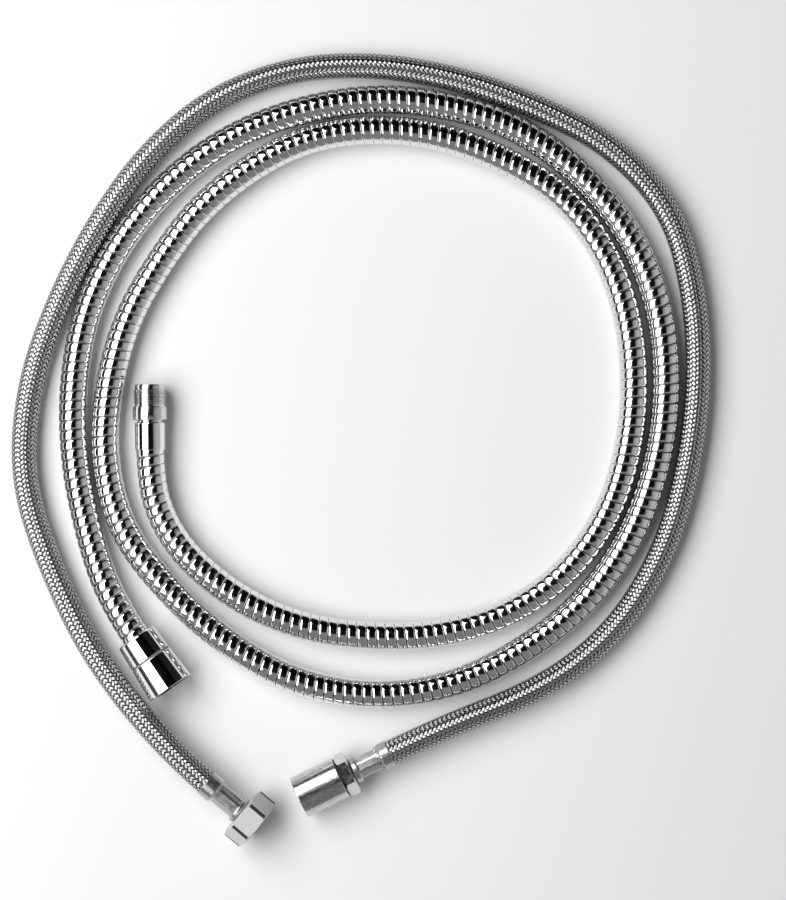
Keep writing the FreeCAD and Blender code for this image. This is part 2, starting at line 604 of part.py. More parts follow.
seal_end = seal_start + WASHER_THICK
connector_body = turned([(sleeve_start, 0), (sleeve_start, CONNECTOR_OD / 2, CONNECTOR_ROUND),
                         (sleeve_end, CONNECTOR_OD / 2, CONNECTOR_ROUND), (sleeve_end, 0)])
stub_seat_r, stub_seat = stub_r + PRESSED, stub_end + FACE_GAP
thread_r, undercut_r = G38_MINOR / 2, G38_MAJOR / 2 + UNDERCUT_GAP
waterway_r = THREAD_END_WATERWAY / 2
connector_hollow = turned([
    (sleeve_start - PAST, 0), (sleeve_start - PAST, stub_seat_r), (stub_seat, stub_seat_r),
    (stub_seat, waterway_r), (thread_floor, waterway_r), (thread_floor, undercut_r),
    (seal_end + FACE_GAP, undercut_r), (seal_end + FACE_GAP, thread_r),
    (sleeve_end - MOUTH_CHAMFER, thread_r), (sleeve_end, thread_r + MOUTH_CHAMFER),
    (sleeve_end + PAST, thread_r + MOUTH_CHAMFER), (sleeve_end + PAST, 0)])
pieces["connector_body"] = connector_end.placed(connector_body.cut(connector_hollow))
pieces["connector_seal"] = connector_end.placed(washer(seal_start, thread_r, waterway_r))


def least_gap(first, first_d, second, second_d, apart=0.0):
    """The least space between two hoses, or between stretches of one hose that lie apart along it,
    measured between points at even steps on their centre lines."""
    points = [[route.at(MEASURE_STEP * i)[0] for i in range(int(route.length / MEASURE_STEP))]
              for route in (first, second)]
    return min((p - q).Length for i, p in enumerate(points[0]) for j, q in enumerate(points[1])
               if MEASURE_STEP * abs(i - j) >= apart) - (first_d + second_d) / 2


os.makedirs("parts", exist_ok=True)
for name, shape in pieces.items():
    solid = shape.Solids[0]
    print(f"{name}: {len(shape.Solids)} solid, {len(solid.Faces)} faces, {solid.Volume / 1000:.2f} cm3,"
          f" {'valid' if solid.isValid() else 'NOT VALID'}")
    solid.exportStep(f"parts/{name}.step")

whole = Part.makeCompound(list(pieces.values())).optimalBoundingBox()
print("box", [round(v, 2) for v in (whole.XMin, whole.XMax, whole.YMin, whole.YMax, whole.ZMin, whole.ZMax)])
for label, route, d, bore_r, solid in (
        ("spiral hose", spiral_route, SPIRAL_OD, spiral_bore_r, pieces["spiral_sheath"]),
        ("braided hose", braid_route, BRAID_OD, braid_bore_r, pieces["braid_sheath"])):
    plain = math.pi * (d ** 2 / 4 - bore_r ** 2) * route.length
    print(f"{label}: {route.length:.0f} mm long, volume {solid.Volume / plain:.3f} of a plain tube's,"
          f" tightest radius {min(route.radii):.0f} mm, radii", [round(r) for r in route.radii])
print(f"spiral hose: least gap to itself"
      f" {least_gap(spiral_route, SPIRAL_OD, spiral_route, SPIRAL_OD, OWN_TURN):.2f} mm")
print(f"between the hoses: least gap"
      f" {least_gap(spiral_route, SPIRAL_OD, braid_route, BRAID_OD):.2f} mm")
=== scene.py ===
# %% [markdown]
# # A bath-rim shower hose set
# Two hoses lie in loose turns on a pale table. One is wrapped in a chromed steel spiral, the other in
# a steel braid, and each ends in the fittings that join it to the tap and to the hand shower.
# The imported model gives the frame. Everything here is in metres, in that frame.

# %% The frame
import math

import bpy
from mathutils import Matrix, Vector


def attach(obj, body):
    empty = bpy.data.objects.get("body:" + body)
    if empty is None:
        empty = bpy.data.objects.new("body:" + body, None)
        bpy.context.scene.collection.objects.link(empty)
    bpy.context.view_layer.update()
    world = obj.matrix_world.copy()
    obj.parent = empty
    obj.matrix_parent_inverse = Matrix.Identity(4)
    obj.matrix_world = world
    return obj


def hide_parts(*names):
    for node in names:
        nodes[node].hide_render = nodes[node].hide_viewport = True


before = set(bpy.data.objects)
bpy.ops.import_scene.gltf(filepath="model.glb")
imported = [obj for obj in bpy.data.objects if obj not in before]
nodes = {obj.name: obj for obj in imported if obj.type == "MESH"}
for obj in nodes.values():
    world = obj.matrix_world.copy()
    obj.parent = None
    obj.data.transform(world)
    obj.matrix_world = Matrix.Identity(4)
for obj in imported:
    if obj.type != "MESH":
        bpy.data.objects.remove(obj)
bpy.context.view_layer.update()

# %% [markdown]
# ## The camera
# The set was photographed from straight above. A long lens far away keeps the turns round, so the
# camera stands 1.45 m over the table and its lens is worked out from the height of table that it sees.

# %% The camera
CAMERA_PLACE = (0.0158, -0.0006, 1.450)
SENSOR = 36.0               # millimetres, along the picture's taller side
HOSE_PLANE = 0.007          # height of the hoses' middles
SEEN_AT_HOSES = 0.4428      # how much of that plane the picture's height takes in

camera = bpy.data.objects.new("camera", bpy.data.cameras.new("camera"))
camera.data.sensor_fit = "VERTICAL"
camera.data.sensor_height = SENSOR
camera.data.lens = SENSOR * (CAMERA_PLACE[2] - HOSE_PLANE) / SEEN_AT_HOSES
camera.location = CAMERA_PLACE
bpy.context.scene.collection.objects.link(camera)
bpy.context.scene.camera = camera
bpy.context.scene.view_settings.view_transform = "Standard"
print("lens", round(camera.data.lens, 1), "mm")

# %% [markdown]
# ## Where the fittings lie
# Each fitting has a seat, where its hose leaves it, and an axis that points outwards. A small class
# holds both, so that a place on a fitting is one number, its distance along that axis. Its matrix
# carries a piece that was modelled along X to where the fitting lies.

# %% The four fittings
class Fitting:
    def __init__(self, end, aim, height, tilt=0.0):
        a, t = math.radians(aim), math.radians(tilt)
        self.seat = Vector((*end, height))
        self.axis = Vector((math.cos(a) * math.cos(t), math.sin(a) * math.cos(t), math.sin(t)))

    def at(self, along):
        return self.seat + self.axis * along

    def matrix(self):
        side = Vector((0, 0, 1)).cross(self.axis).normalized()
        turn = Matrix((self.axis, side, self.axis.cross(side))).transposed()
        return Matrix.Translation(self.seat) @ turn.to_4x4()


CONE_TILT = 3.4             # degrees: the cone lies on its side, so its axis rises
COLLAR_R, CONE_START_R, CONNECTOR_R = 0.0084, 0.01018, 0.0106
HEX_HALF_FLATS = 0.0120
thread_end = Fitting((-0.1035, -0.0006), 90.6, COLLAR_R)
cone_end = Fitting((-0.1104, -0.0924), -55.3, CONE_START_R, CONE_TILT)
hex_end = Fitting((-0.0759, -0.1634), -40.0, HEX_HALF_FLATS)
connector_end = Fitting((0.0143, -0.1493), -153.8, CONNECTOR_R)

# %% [markdown]
# ## The routes of the hoses
# A hose is a fixed length of something springy, so its line is smooth. Each route is one NURBS spline:
# its control points are the points where the hose turns, and it cuts a little inside every one.
# The turns are listed as distances from the middle of the coil, one for every 15 degrees, because
# loose turns differ in size and a circle would look machine made.

# %% Control points
COIL_CENTRE = (0.0054, 0.0314)
STEP = 15.0                 # degrees from one turning point to the next
FIRST_ANGLE = 225.0
SPIRAL_D, BRAID_D = 0.0140, 0.0125
SPIRAL_RADII = [
    0.1233, 0.1233, 0.1230, 0.1229, 0.1263, 0.1304, 0.1324, 0.1321, 0.1297,
    0.1286, 0.1298, 0.1315, 0.1315, 0.1279, 0.1264, 0.1253, 0.1246, 0.1218, 0.1204, 0.1199,
    0.1240, 0.1285, 0.1358, 0.1414, 0.1416, 0.1446, 0.1499, 0.1523, 0.1522, 0.1496, 0.1490,
    0.1470, 0.1449, 0.1444, 0.1457, 0.1464, 0.1458, 0.1446, 0.1418, 0.1403, 0.1389, 0.1395,
    0.1401, 0.1417, 0.1443, 0.1462, 0.1506,
]
BRAID_RADII = [
    0.1902, 0.1807, 0.1772, 0.1677, 0.1584, 0.1551, 0.1569, 0.1600, 0.1596, 0.1567, 0.1556,
    0.1580, 0.1659, 0.1697, 0.1636, 0.1597, 0.1599, 0.1646, 0.1692, 0.1703,
]
BRAID_RISES = {0: 0.0018, len(BRAID_RADII) - 1: 0.0019}    # where the braid climbs to its fittings
SPIRAL_ENTRY = Vector((-0.0964, -0.0378, SPIRAL_D / 2))
SPIRAL_EXIT = Vector((-0.1325, -0.0474, SPIRAL_D / 2))
HOSE_INSERT = 0.004         # how far each hose goes into its fitting
THREAD_END_RUN = 0.0165     # from a fitting to the first turning point outside it
CONE_END_RUN, BRAID_END_RUN = 0.020, 0.024


def turning_points(radii, step, height, rises={}):
    stand_out = 1 / math.cos(math.radians(step / 2))
    points = []
    for i, radius in enumerate(radii):
        a = math.radians(FIRST_ANGLE + step * i)
        points.append(Vector((COIL_CENTRE[0] + radius * stand_out * math.cos(a),
                              COIL_CENTRE[1] + radius * stand_out * math.sin(a),
                              height + rises.get(i, 0.0))))
    return points


spiral_points = [
    thread_end.at(HOSE_INSERT), thread_end.at(-THREAD_END_RUN), SPIRAL_ENTRY,
    *turning_points(SPIRAL_RADII, STEP, SPIRAL_D / 2),
    SPIRAL_EXIT, cone_end.at(-CONE_END_RUN), cone_end.at(HOSE_INSERT),
]
braid_points = [
    hex_end.at(HOSE_INSERT), hex_end.at(-BRAID_END_RUN),
    *turning_points(BRAID_RADII, -STEP, BRAID_D / 2, BRAID_RISES),
    connector_end.at(-BRAID_END_RUN), connector_end.at(HOSE_INSERT),
]

# %% The two splines
def nurbs_route(name, points):
    curve = bpy.data.curves.new(name, "CURVE")
    curve.dimensions = "3D"
    spline = curve.splines.new("NURBS")
    spline.points.add(len(points) - 1)
    for control, point in zip(spline.points, points):
        control.co = (*point, 1.0)
    spline.order_u = 3
    spline.use_endpoint_u = True
    curve.resolution_u = 16
    route = bpy.data.objects.new(name, curve)
    bpy.context.scene.collection.objects.link(route)
    return route


def line_of(route):
    """The points of a route's smooth line, and its length."""
    bpy.context.view_layer.update()
    mesh = bpy.data.meshes.new_from_object(route.evaluated_get(bpy.context.evaluated_depsgraph_get()))
    points = [v.co.copy() for v in mesh.vertices]
    bpy.data.meshes.remove(mesh)
    return points, sum((q - p).length for p, q in zip(points, points[1:]))


spiral_route = nurbs_route("spiral_route", spiral_points)
braid_route = nurbs_route("braid_route", braid_points)
spiral_line, spiral_length = line_of(spiral_route)
braid_line, braid_length = line_of(braid_route)
print("spiral hose", round(spiral_length, 3), "m, braided hose", round(braid_length, 3), "m")

# %% [markdown]
# ## Shared surface effects
# No metal here is a single flat colour. Three effects return in several finishes: a cloudiness that
# varies the gloss, fine lines left by turning or drawing, and a grain of small dents. Each is a
# shader node group with named inputs, built once and placed in each material with its own values.

# %% Node helpers
def link(tree, start, end):
    tree.links.new(start, end)


def new_group(name, inputs, outputs):
    group = bpy.data.node_groups.new(name, "ShaderNodeTree")
    for socket, kind, value in inputs:
        made = group.interface.new_socket(socket, in_out="INPUT", socket_type=kind)
        if value is not None:
            made.default_value = value
    for socket, kind in outputs:
        group.interface.new_socket(socket, in_out="OUTPUT", socket_type=kind)
    return group, group.nodes.new("NodeGroupInput"), group.nodes.new("NodeGroupOutput")


def math_node(tree, operation, first, second, clamp=False):
    node = tree.nodes.new("ShaderNodeMath")
    node.operation = operation
    node.use_clamp = clamp
    for socket, value in zip(node.inputs, (first, second)):
        if isinstance(value, (int, float)):
            socket.default_value = value
        else:
            link(tree, value, socket)
    return node.outputs["Value"]


# %% Cloudiness: where the gloss is a little higher or lower
def cloud_group():
    group, given, out = new_group(
        "cloudiness",
        [("Vector", "NodeSocketVector", None), ("Scale", "NodeSocketFloat", 60.0),
         ("Least", "NodeSocketFloat", 0.05), ("Most", "NodeSocketFloat", 0.15)],
        [("Roughness", "NodeSocketFloat")])
    noise = group.nodes.new("ShaderNodeTexNoise")
    noise.inputs["Detail"].default_value = 4.0
    link(group, given.outputs["Vector"], noise.inputs["Vector"])
    link(group, given.outputs["Scale"], noise.inputs["Scale"])
    spread = group.nodes.new("ShaderNodeMapRange")
    spread.inputs["From Min"].default_value = 0.3
    spread.inputs["From Max"].default_value = 0.7
    link(group, noise.outputs["Fac"], spread.inputs["Value"])
    link(group, given.outputs["Least"], spread.inputs["To Min"])
    link(group, given.outputs["Most"], spread.inputs["To Max"])
    link(group, spread.outputs["Result"], out.inputs["Roughness"])
    return group


cloudiness = cloud_group()

# %% Lines: the fine rings that a lathe or a drawing die leaves
def lines_group():
    group, given, out = new_group(
        "tool_lines",
        [("Vector", "NodeSocketVector", None), ("Along", "NodeSocketFloat", 4000.0),
         ("Across", "NodeSocketFloat", 60.0)],
        [("Height", "NodeSocketFloat"), ("Shade", "NodeSocketFloat")])
    stretch = group.nodes.new("ShaderNodeVectorMath")
    stretch.operation = "MULTIPLY"
    scale = group.nodes.new("ShaderNodeCombineXYZ")
    link(group, given.outputs["Along"], scale.inputs["X"])
    link(group, given.outputs["Across"], scale.inputs["Y"])
    link(group, given.outputs["Across"], scale.inputs["Z"])
    link(group, given.outputs["Vector"], stretch.inputs[0])
    link(group, scale.outputs["Vector"], stretch.inputs[1])
    noise = group.nodes.new("ShaderNodeTexNoise")
    noise.inputs["Scale"].default_value = 1.0
    noise.inputs["Detail"].default_value = 3.0
    link(group, stretch.outputs["Vector"], noise.inputs["Vector"])
    link(group, noise.outputs["Fac"], out.inputs["Height"])
    shade = group.nodes.new("ShaderNodeMapRange")
    shade.inputs["From Min"].default_value = 0.35
    shade.inputs["From Max"].default_value = 0.65
    link(group, noise.outputs["Fac"], shade.inputs["Value"])
    link(group, shade.outputs["Result"], out.inputs["Shade"])
    return group


tool_lines = lines_group()

# %% Grain: the small dents of a satin or cast surface
def grain_group():
    group, given, out = new_group(
        "fine_grain",
        [("Vector", "NodeSocketVector", None), ("Scale", "NodeSocketFloat", 1500.0)],
        [("Height", "NodeSocketFloat")])
    noise = group.nodes.new("ShaderNodeTexNoise")
    noise.inputs["Detail"].default_value = 2.0
    link(group, given.outputs["Vector"], noise.inputs["Vector"])
    link(group, given.outputs["Scale"], noise.inputs["Scale"])
    link(group, noise.outputs["Fac"], out.inputs["Height"])
    return group


fine_grain = grain_group()

# %% [markdown]
# ## The finishes
# A material is started by one function, which sets the constants on the shader's own sockets and
# gives it coordinates. On a turned piece these are the fitting's own: a Mapping node carries the
# object's coordinates into them, so that tool lines run round the piece whichever way it lies.

# %% How every material starts
class Finish:
    def __init__(self, name, colour, metallic, fitting=None, **constants):
        self.material = bpy.data.materials.new(name)
        self.material.use_nodes = True
        self.tree = self.material.node_tree
        self.shader = self.tree.nodes["Principled BSDF"]
        self.shader.inputs["Base Color"].default_value = (*colour, 1.0)
        self.shader.inputs["Metallic"].default_value = metallic
        for socket, value in constants.items():
            self.shader.inputs[socket.replace("_", " ")].default_value = value
        place = self.tree.nodes.new("ShaderNodeTexCoord")
        self.vector = place.outputs["Object"]
        if fitting:
            mapping = self.tree.nodes.new("ShaderNodeMapping")
            back = fitting.matrix().inverted()
            mapping.inputs["Location"].default_value = back.to_translation()
            mapping.inputs["Rotation"].default_value = back.to_euler()
            link(self.tree, self.vector, mapping.inputs["Vector"])
            self.vector = mapping.outputs["Vector"]

    def place(self, group, vector=None, **values):
        node = self.tree.nodes.new("ShaderNodeGroup")
        node.node_tree = group
        link(self.tree, vector or self.vector, node.inputs["Vector"])
        for socket, value in values.items():
            node.inputs[socket].default_value = value
        return node.outputs

    def rough(self, scale, least, most):
        made = self.place(cloudiness, Scale=scale, Least=least, Most=most)
        link(self.tree, made["Roughness"], self.shader.inputs["Roughness"])

    def bump(self, heights):
        """Lays several heights over each other, each with its depth in metres."""
        normal = None
        for height, depth in heights:
            bump = self.tree.nodes.new("ShaderNodeBump")
            bump.inputs["Distance"].default_value = depth
            link(self.tree, height, bump.inputs["Height"])
            if normal:
                link(self.tree, normal, bump.inputs["Normal"])
            normal = bump.outputs["Normal"]
        link(self.tree, normal, self.shader.inputs["Normal"])

    def tone(self, mask, low, high):
        """Base colour between two colours, by a mask."""
        mix = self.tree.nodes.new("ShaderNodeMix")
        mix.data_type = "RGBA"
        mix.inputs["A"].default_value = (*low, 1.0)
        mix.inputs["B"].default_value = (*high, 1.0)
        link(self.tree, mask, mix.inputs["Factor"])
        link(self.tree, mix.outputs["Result"], self.shader.inputs["Base Color"])


# %% [markdown]
# ## The chromed spiral
# The skin of a shower hose is one long steel strip, wound like a screw thread and folded so that each
# turn hooks into the next. The strip keeps its width in a bend, and only the gap between two turns
# opens outside and closes inside. So one turn is modelled once, as a band that climbs by its own pitch,
# and Geometry Nodes repeat it along the route over a tube that shows in the gaps, painted nearly black as
# painted shade in them.

# %% One turn of the strip
RIB_PITCH = 0.00475
RIB_SEGMENTS = 26
SPIRAL_CORE_R = 0.0063      # of the darker tube under the strip
STRIP_WELD = 0.00006        # how near the ends of two turns lie when they are joined
CORE_SIDES = 24
RIB_OUTLINE = [             # (along the hose, below the crest), from one edge of the strip to the other
    (-0.00221, 0.00080), (-0.00214, 0.00032), (-0.00185, 0.00012), (-0.00130, 0.00003), (-0.00060, 0.0),
    (0.00060, 0.0), (0.00140, 0.00003), (0.00196, 0.00012), (0.00216, 0.00028), (0.00221, 0.00080),
]


def strip_turn():
    rows = len(RIB_OUTLINE)
    vertices = []
    for k in range(RIB_SEGMENTS + 1):
        a = 2 * math.pi * (k / RIB_SEGMENTS - 0.5)
        for along, depth in RIB_OUTLINE:
            r = SPIRAL_D / 2 - depth
            vertices.append((along + RIB_PITCH * a / (2 * math.pi), -r * math.sin(a), r * math.cos(a)))
    faces = [(k * rows + i, k * rows + i + 1, (k + 1) * rows + i + 1, (k + 1) * rows + i)
             for k in range(RIB_SEGMENTS) for i in range(rows - 1)]
    mesh = bpy.data.meshes.new("strip_turn")
    mesh.from_pydata(vertices, [], faces)
    turn = bpy.data.objects.new("strip_turn", mesh)
    bpy.context.scene.collection.objects.link(turn)
    return turn


# %% The tree that repeats a ring of detail along a route
def ring_tree():
    tree = bpy.data.node_groups.new("rings_along_route", "GeometryNodeTree")
    tree.is_modifier = True
    face = tree.interface
    face.new_socket("Geometry", in_out="INPUT", socket_type="NodeSocketGeometry")
    for name, kind in (("Route", "NodeSocketObject"), ("Ring", "NodeSocketObject"),
                       ("Count", "NodeSocketInt"), ("Core radius", "NodeSocketFloat"),
                       ("Core rings", "NodeSocketInt"), ("Core sides", "NodeSocketInt"),
                       ("Weld", "NodeSocketFloat"),
                       ("Ring finish", "NodeSocketMaterial"), ("Core finish", "NodeSocketMaterial")):
        face.new_socket(name, in_out="INPUT", socket_type=kind)
    face.new_socket("Geometry", in_out="OUTPUT", socket_type="NodeSocketGeometry")

    def add(kind, **properties):
        node = tree.nodes.new(kind)
        for key, value in properties.items():
            setattr(node, key, value)
        return node

    given, out = add("NodeGroupInput"), add("NodeGroupOutput")
    route, ring = add("GeometryNodeObjectInfo"), add("GeometryNodeObjectInfo")
    link(tree, given.outputs["Route"], route.inputs["Object"])
    link(tree, given.outputs["Ring"], ring.inputs["Object"])

    stations = add("GeometryNodeCurveToPoints", mode="COUNT")
    link(tree, route.outputs["Geometry"], stations.inputs["Curve"])
    link(tree, given.outputs["Count"], stations.inputs["Count"])
    facing = add("FunctionNodeAxesToRotation", primary_axis="X", secondary_axis="Z")
    link(tree, stations.outputs["Tangent"], facing.inputs["Primary Axis"])
    facing.inputs["Secondary Axis"].default_value = (0, 0, 1)
    repeat = add("GeometryNodeInstanceOnPoints")
    link(tree, stations.outputs["Points"], repeat.inputs["Points"])
    link(tree, ring.outputs["Geometry"], repeat.inputs["Instance"])
    link(tree, facing.outputs["Rotation"], repeat.inputs["Rotation"])
    real = add("GeometryNodeRealizeInstances")
    link(tree, repeat.outputs["Instances"], real.inputs["Geometry"])
    weld = add("GeometryNodeMergeByDistance")
    link(tree, real.outputs["Geometry"], weld.inputs["Geometry"])
    link(tree, given.outputs["Weld"], weld.inputs["Distance"])
    ring_finish = add("GeometryNodeSetMaterial")
    link(tree, weld.outputs["Geometry"], ring_finish.inputs["Geometry"])
    link(tree, given.outputs["Ring finish"], ring_finish.inputs["Material"])

    even = add("GeometryNodeResampleCurve", mode="COUNT")
    link(tree, route.outputs["Geometry"], even.inputs["Curve"])
    link(tree, given.outputs["Core rings"], even.inputs["Count"])
    section = add("GeometryNodeCurvePrimitiveCircle")
    link(tree, given.outputs["Core radius"], section.inputs["Radius"])
    link(tree, given.outputs["Core sides"], section.inputs["Resolution"])
    core = add("GeometryNodeCurveToMesh")
    core.inputs["Fill Caps"].default_value = True
    link(tree, even.outputs["Curve"], core.inputs["Curve"])
    link(tree, section.outputs["Curve"], core.inputs["Profile Curve"])
    core_finish = add("GeometryNodeSetMaterial")
    link(tree, core.outputs["Mesh"], core_finish.inputs["Geometry"])
    link(tree, given.outputs["Core finish"], core_finish.inputs["Material"])

    both = add("GeometryNodeJoinGeometry")
    link(tree, core_finish.outputs["Geometry"], both.inputs["Geometry"])
    link(tree, ring_finish.outputs["Geometry"], both.inputs["Geometry"])
    smooth = add("GeometryNodeSetShadeSmooth")
    link(tree, both.outputs["Geometry"], smooth.inputs["Geometry"])
    link(tree, smooth.outputs["Geometry"], out.inputs["Geometry"])
    return tree


rings_along_route = ring_tree()


def as_mesh(name, source):
    """A plain mesh object of what a source object and its modifiers make. The source goes."""
    bpy.context.view_layer.update()
    made = source.evaluated_get(bpy.context.evaluated_depsgraph_get())
    mesh = bpy.data.meshes.new_from_object(made)
    mesh.name = name
    bpy.data.objects.remove(source)
    piece = bpy.data.objects.new(name, mesh)
    bpy.context.scene.collection.objects.link(piece)
    return piece


def skin(name, **values):
    """Runs the tree with the values given by name."""
    host = bpy.data.objects.new(name + "_host", bpy.data.meshes.new(name + "_host"))
    bpy.context.scene.collection.objects.link(host)
    modifier = host.modifiers.new("skin", "NODES")
    modifier.node_group = rings_along_route
    for item in rings_along_route.interface.items_tree:
        if item.in_out == "INPUT" and item.name in values:
            modifier[item.identifier] = values[item.name]
    piece = as_mesh(name, host)
    bpy.data.objects.remove(values["Ring"])
    print(name, len(piece.data.polygons), "faces")
    return piece


# %% [markdown]
# ### Its finish
# Chrome has almost no colour of its own: what shows is the room. Its gloss varies a little, and very
# small dents soften it. The folded-in part, seen through the gaps, is rougher and painted nearly black as
# painted shade in the gaps.

# %% Chromed strip
def chromed_strip():
    finish = Finish("chromed_strip", (0.80, 0.80, 0.81), 1.0)
    finish.rough(300.0, 0.05, 0.13)
    dents = finish.place(fine_grain, Scale=520.0)
    finish.bump([(dents["Height"], 0.00003)])
    return finish.material


def gap_shade_steel():
    # Painted shade: the folded-in part is coloured nearly black, for the shade in the gaps between turns.
    finish = Finish("gap_shade_steel", (0.10, 0.10, 0.105), 1.0)
    finish.rough(400.0, 0.25, 0.45)
    return finish.material


spiral_count = round(spiral_length / RIB_PITCH)
spiral_skin = skin(
    "spiral_skin", **{
        "Route": spiral_route, "Ring": strip_turn(), "Count": spiral_count,
        "Core radius": SPIRAL_CORE_R, "Core rings": spiral_count, "Core sides": CORE_SIDES,
        "Weld": STRIP_WELD,
        "Ring finish": chromed_strip(), "Core finish": gap_shade_steel()})
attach(spiral_skin, "spiral_hose")
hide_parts("spiral_sheath")

# %% [markdown]
# ## The steel braid
# A braided hose has two families of flat strands, wound opposite ways, each strand passing over two
# of the other family and under the next two. What shows is a field of short floats, in rows along the
# hose that lean left and right in turn. Each is flat along its middle and dives under its neighbours at
# both ends. One ring of sixteen is modelled on a cylinder, and the same tree repeats it every 2.3 mm.

# %% One ring of floats
BRAID_SPACING = 0.00233     # from one ring of floats to the next
BRAID_ROWS = 16
BRAID_CORE_R = 0.00570
FLOAT_REACH = 1.25          # a float's length, in rows
FLOAT_WIDTH = 0.00108
FLOAT_DIVE = 0.00062        # how far a float's ends go under their neighbours
FLOAT_CROWN = 0.00006       # how much rounder than the hose a strand is
ALONG_STEPS = (-1.0, -0.66, -0.33, 0.0, 0.33, 0.66, 1.0)
ACROSS_STEPS = (-1.0, 0.0, 1.0)


def float_ring():
    row_width = math.pi * BRAID_D / BRAID_ROWS
    lean = math.atan2(row_width, BRAID_SPACING)
    half = FLOAT_REACH * math.hypot(row_width, BRAID_SPACING) / 2    # of one float's length
    mesh = bpy.data.meshes.new("float_ring")
    vertices, faces, marks = [], [], []
    for row in range(BRAID_ROWS):
        sign = 1 if row % 2 == 0 else -1
        start = 0.0 if row % 2 == 0 else BRAID_SPACING / 2
        first = len(vertices)
        for p in ALONG_STEPS:
            for q in ACROSS_STEPS:
                along, across = p * half, q * FLOAT_WIDTH / 2
                x = start + along * math.cos(lean) - sign * across * math.sin(lean)
                arc = row * row_width + sign * along * math.sin(lean) + across * math.cos(lean)
                r = BRAID_D / 2 - FLOAT_DIVE * p ** 4 - FLOAT_CROWN * q * q
                a = arc / (BRAID_D / 2)
                vertices.append((x, -r * math.sin(a), r * math.cos(a)))
                marks.append((q * 0.5 + 0.5, p * 0.5 + 0.5))
        wide = len(ACROSS_STEPS)
        for i in range(len(ALONG_STEPS) - 1):
            for j in range(wide - 1):
                a = first + i * wide + j
                faces.append((a, a + 1, a + wide + 1, a + wide))
    mesh.from_pydata(vertices, [], faces)
    uv = mesh.uv_layers.new(name="strand")
    for loop in mesh.loops:
        uv.data[loop.index].uv = marks[loop.vertex_index]
    ring = bpy.data.objects.new("float_ring", mesh)
    bpy.context.scene.collection.objects.link(ring)
    return ring


# %% Its finish, with painted shade between the wires
WIRES = 6                   # in one strand


def steel_braid():
    finish = Finish("steel_braid", (0.50, 0.50, 0.50), 1.0)
    finish.rough(900.0, 0.12, 0.20)
    uv = finish.tree.nodes.new("ShaderNodeUVMap")
    uv.uv_map = "strand"
    split = finish.tree.nodes.new("ShaderNodeSeparateXYZ")
    link(finish.tree, uv.outputs["UV"], split.inputs["Vector"])
    turns = math_node(finish.tree, "MULTIPLY", split.outputs["X"], WIRES * math.pi)
    wire_ridge_and_shade = math_node(finish.tree, "ABSOLUTE", math_node(finish.tree, "SINE", turns, 0.0), 0.0)
    # Painted shade: a strand's colour darkens in the creases between its wires; the same ridge also gives
    # the wires their relief.
    finish.tone(wire_ridge_and_shade, (0.30, 0.30, 0.31), (0.62, 0.62, 0.62))
    finish.bump([(wire_ridge_and_shade, 0.00002)])
    return finish.material


def braid_shadow():
    finish = Finish("braid_shadow", (0.03, 0.03, 0.03), 0.5)
    finish.rough(900.0, 0.45, 0.6)
    return finish.material


braid_count = round(braid_length / BRAID_SPACING)
braid_skin = skin(
    "braid_skin", **{
        "Route": braid_route, "Ring": float_ring(), "Count": braid_count,
        "Core radius": BRAID_CORE_R, "Core rings": braid_count // 2, "Core sides": CORE_SIDES,
        "Weld": 0.0,
        "Ring finish": steel_braid(), "Core finish": braid_shadow()})
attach(braid_skin, "braided_hose")
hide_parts("braid_sheath")

# %% [markdown]
# ## The water tubes
# Inside each skin runs a rubber tube. It can only be seen where a fitting is open, but it is a real
# piece with a bore, so it follows the same points, a little further into the fittings, as a bevelled
# curve whose wall a Solidify modifier makes.

# %% Water tubes
def rubber(name, colour):
    finish = Finish(name, colour, 0.0, Specular_IOR_Level=0.35)
    finish.rough(500.0, 0.55, 0.75)
    dents = finish.place(fine_grain, Scale=2500.0)
    finish.bump([(dents["Height"], 0.00004)])
    return finish.material


TUBE_WALL = 0.0016
SPIRAL_TUBE_R, BRAID_TUBE_R = 0.0056, 0.0046
SPIRAL_TUBE_END = 0.0085    # along either fitting's axis
HEX_TUBE_END, CONNECTOR_TUBE_END = 0.0062, 0.0050


def water_tube(name, points, ends, radius, stands_for, body):
    first, last = ends
    route = nurbs_route(name + "_route", [first] + points[1:-1] + [last])
    route.data.bevel_depth = radius
    route.data.bevel_resolution = 6
    route.data.resolution_u = 6
    outside = as_mesh(name + "_skin", route)
    wall = outside.modifiers.new("wall", "SOLIDIFY")
    wall.thickness = TUBE_WALL
    wall.offset = -1.0
    tube = as_mesh(name, outside)
    tube.data.shade_smooth()
    tube.data.materials.clear()
    tube.data.materials.append(tube_rubber)
    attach(tube, body)
    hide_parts(stands_for)
    return tube


tube_rubber = rubber("water_tube", (0.05, 0.05, 0.052))
spiral_tube = water_tube(
    "spiral_hose_tube", spiral_points, (thread_end.at(SPIRAL_TUBE_END), cone_end.at(SPIRAL_TUBE_END)),
    SPIRAL_TUBE_R, "spiral_hose_liner", "spiral_hose")
braid_tube = water_tube(
    "braided_hose_tube", braid_points, (hex_end.at(HEX_TUBE_END), connector_end.at(CONNECTOR_TUBE_END)),
    BRAID_TUBE_R, "braided_hose_liner", "braided_hose")

# %% [markdown]
# ## The fittings
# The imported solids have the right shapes, so all but the threaded tail stay, and get their finishes here.

# %% Polished chrome, for the sleeves and the cone nut
def polished_chrome(name, fitting):
    finish = Finish(name, (0.80, 0.80, 0.81), 1.0, fitting)
    finish.rough(150.0, 0.03, 0.09)
    lines = finish.place(tool_lines, Along=5000.0, Across=30.0)
    finish.bump([(lines["Height"], 0.000004)])
    return finish.material


